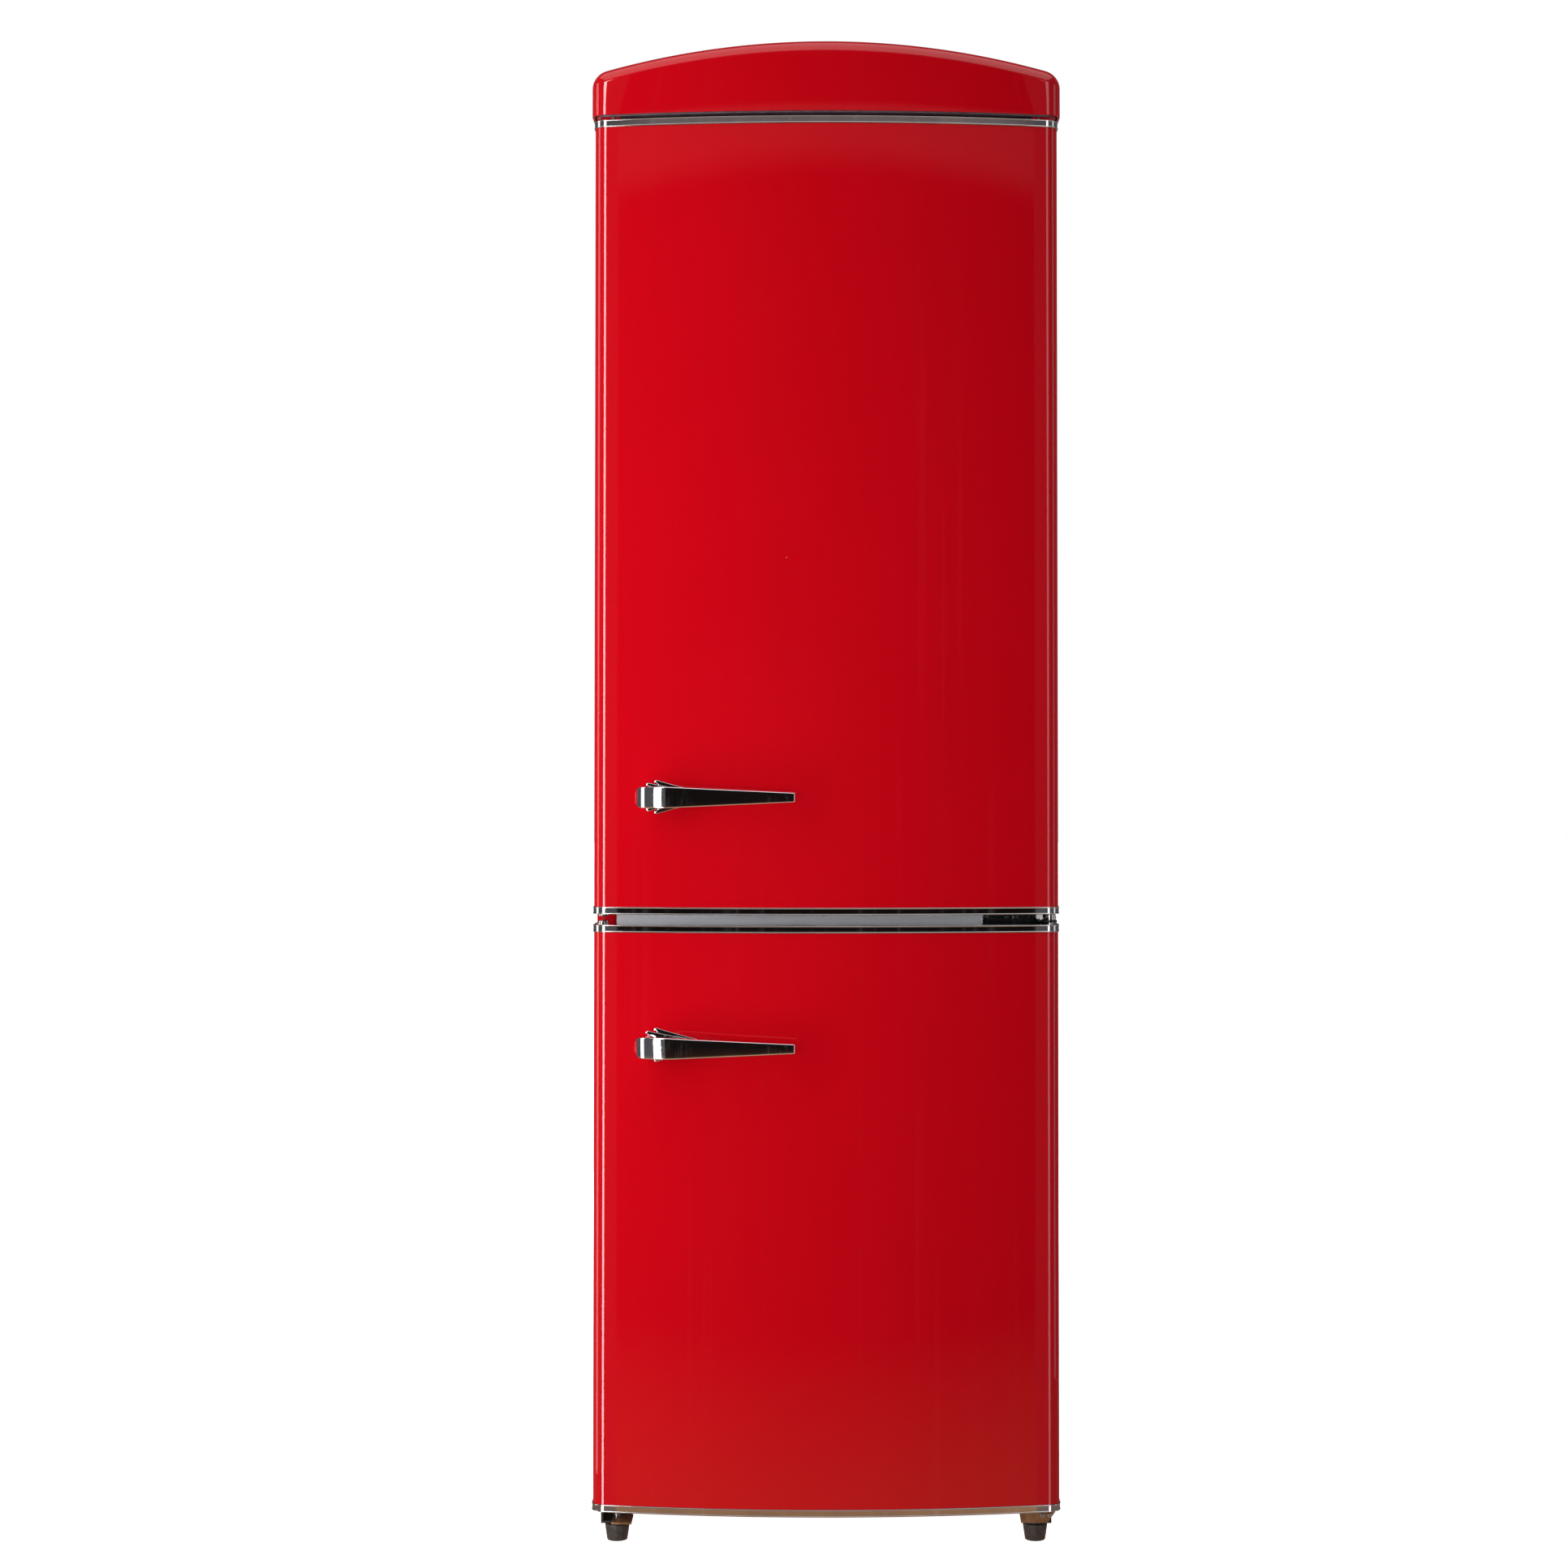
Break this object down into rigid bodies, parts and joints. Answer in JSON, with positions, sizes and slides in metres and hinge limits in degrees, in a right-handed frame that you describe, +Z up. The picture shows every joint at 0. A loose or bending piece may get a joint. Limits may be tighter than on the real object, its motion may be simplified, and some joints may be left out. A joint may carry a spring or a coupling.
{
  "type": "fridge freezer",
  "caption": "Tall retro fridge-freezer with bowed doors hinged on the right, an arched top cap, chrome trims and lever handles, and a full interior.",
  "frame": {"origin": "on the floor, at the centre of the whole object's box", "axes": "+Z up, -Y to the front (the doors), +X to the right of someone facing the doors"},
  "size_m": [0.602, 0.689, 1.925],
  "materials": {
    "red_lacquered_steel": "high-gloss red lacquer",
    "polyurethane_foam": "closed-cell foam, unfinished",
    "white_liner": "vacuum-formed white styrene, satin gloss",
    "chromed_trim": "bright chrome plating on plastic",
    "chrome": "polished chrome plating",
    "grey_rail": "satin blue-grey paint",
    "zinc_steel": "galvanised sheet",
    "black_steel": "satin black powder coat",
    "black_plastic": "matt moulded black",
    "white_plastic": "moulded white, satin",
    "gasket_rubber": "soft light-grey vinyl",
    "copper_tube": "drawn copper, slightly dull",
    "shelf_glass": "clear safety glass, green edge",
    "clear_plastic": "clear moulded styrene"
  },
  "bodies": {
    "cabinet": {"cabinet_shell": "red_lacquered_steel", "top_cap": "red_lacquered_steel", "cabinet_insulation": "polyurethane_foam", "fridge_liner": "white_liner", "freezer_liner": "white_liner", "mullion_rail": "grey_rail", "back_panel": "zinc_steel", "niche_panel": "zinc_steel", "top_hinge": "zinc_steel", "base_frame": "black_steel", "middle_hinge": "black_steel", "bottom_hinge": "black_steel", "compressor": "black_steel", "condenser_coil": "black_steel", "evaporation_tray": "black_plastic", "terminal_cover": "black_plastic", "control_housing": "white_plastic", "discharge_pipe": "copper_tube", "glass_shelf_1": "shelf_glass", "glass_shelf_2": "shelf_glass", "glass_shelf_3": "shelf_glass", "crisper_cover": "shelf_glass", "freezer_shelf_1": "shelf_glass", "freezer_shelf_2": "shelf_glass", "lamp_lens": "clear_plastic"},
    "upper_door": {"upper_door_skin": "red_lacquered_steel", "upper_door_insulation": "polyurethane_foam", "upper_door_liner": "white_liner", "upper_door_gasket": "gasket_rubber", "upper_door_top_trim": "chromed_trim", "upper_door_bottom_trim": "chromed_trim", "upper_door_top_bush": "white_plastic", "upper_door_bottom_bush": "white_plastic", "upper_handle_base": "chrome", "upper_handle_lever": "chrome", "door_stop": "white_plastic", "balcony_1": "clear_plastic", "balcony_2": "clear_plastic", "balcony_3": "clear_plastic"},
    "lower_door": {"lower_door_skin": "red_lacquered_steel", "lower_door_insulation": "polyurethane_foam", "lower_door_liner": "white_liner", "lower_door_gasket": "gasket_rubber", "lower_door_top_trim": "chromed_trim", "lower_door_bottom_trim": "chromed_trim", "lower_door_top_bush": "white_plastic", "lower_door_bottom_bush": "white_plastic", "lower_handle_base": "chrome", "lower_handle_lever": "chrome"},
    "thermostat_knob": {"thermostat_knob": "white_plastic"},
    "light_switch": {"light_switch": "white_plastic"},
    "foot_left": {"foot_left": "black_plastic"},
    "foot_right": {"foot_right": "black_plastic"},
    "roller_left": {"roller_left": "black_plastic"},
    "roller_right": {"roller_right": "black_plastic"},
    "crisper_left": {"crisper_left": "clear_plastic"},
    "crisper_right": {"crisper_right": "clear_plastic"},
    "freezer_drawer_bottom": {"freezer_drawer_bottom": "clear_plastic"},
    "freezer_drawer_middle": {"freezer_drawer_middle": "clear_plastic"},
    "freezer_drawer_top": {"freezer_drawer_top": "clear_plastic"}
  },
  "joints": [
    {"name": "upper_door_hinge", "type": "hinge", "parent": "cabinet", "child": "upper_door", "pos_m": [0.289, -0.2405, 1.30275], "axis": [0, 0, 1], "range_deg": [0, 130]},
    {"name": "lower_door_hinge", "type": "hinge", "parent": "cabinet", "child": "lower_door", "pos_m": [0.289, -0.2405, 0.43275], "axis": [0, 0, 1], "range_deg": [0, 130]},
    {"name": "thermostat_turn", "type": "hinge", "parent": "cabinet", "child": "thermostat_knob", "pos_m": [-0.07, -0.1075, 1.76], "axis": [0, 1, 0], "range_deg": [-135, 135]},
    {"name": "foot_left_turn", "type": "hinge", "parent": "cabinet", "child": "foot_left", "pos_m": [-0.27, -0.2025, 0.012], "axis": [0, 0, 1], "continuous": true},
    {"name": "foot_right_turn", "type": "hinge", "parent": "cabinet", "child": "foot_right", "pos_m": [0.27, -0.2025, 0.012], "axis": [0, 0, 1], "continuous": true},
    {"name": "roller_left_spin", "type": "hinge", "parent": "cabinet", "child": "roller_left", "pos_m": [-0.277, 0.2725, 0.015], "axis": [1, 0, 0], "continuous": true},
    {"name": "roller_right_spin", "type": "hinge", "parent": "cabinet", "child": "roller_right", "pos_m": [0.277, 0.2725, 0.015], "axis": [1, 0, 0], "continuous": true},
    {"name": "light_switch_travel", "type": "slide", "parent": "cabinet", "child": "light_switch", "axis": [0, -1, 0], "range_m": [0, 0.0051]},
    {"name": "crisper_left_slide", "type": "slide", "parent": "cabinet", "child": "crisper_left", "axis": [0, -1, 0], "range_m": [0, 0.251]},
    {"name": "crisper_right_slide", "type": "slide", "parent": "cabinet", "child": "crisper_right", "axis": [0, -1, 0], "range_m": [0, 0.251]},
    {"name": "freezer_drawer_bottom_slide", "type": "slide", "parent": "cabinet", "child": "freezer_drawer_bottom", "axis": [0, -1, 0], "range_m": [0, 0.217]},
    {"name": "freezer_drawer_middle_slide", "type": "slide", "parent": "cabinet", "child": "freezer_drawer_middle", "axis": [0, -1, 0], "range_m": [0, 0.217]},
    {"name": "freezer_drawer_top_slide", "type": "slide", "parent": "cabinet", "child": "freezer_drawer_top", "axis": [0, -1, 0], "range_m": [0, 0.217]}
  ],
  "couplings": [
    {"joint": "light_switch_travel", "follows": "upper_door_hinge", "m_per_rad": 0.0022},
    {"joint": "crisper_left_slide", "follows": "upper_door_hinge", "m_per_rad": 0.11},
    {"joint": "crisper_right_slide", "follows": "upper_door_hinge", "m_per_rad": 0.08},
    {"joint": "freezer_drawer_bottom_slide", "follows": "lower_door_hinge", "m_per_rad": 0.095},
    {"joint": "freezer_drawer_middle_slide", "follows": "lower_door_hinge", "m_per_rad": 0.075},
    {"joint": "freezer_drawer_top_slide", "follows": "lower_door_hinge", "m_per_rad": 0.05}
  ]
}
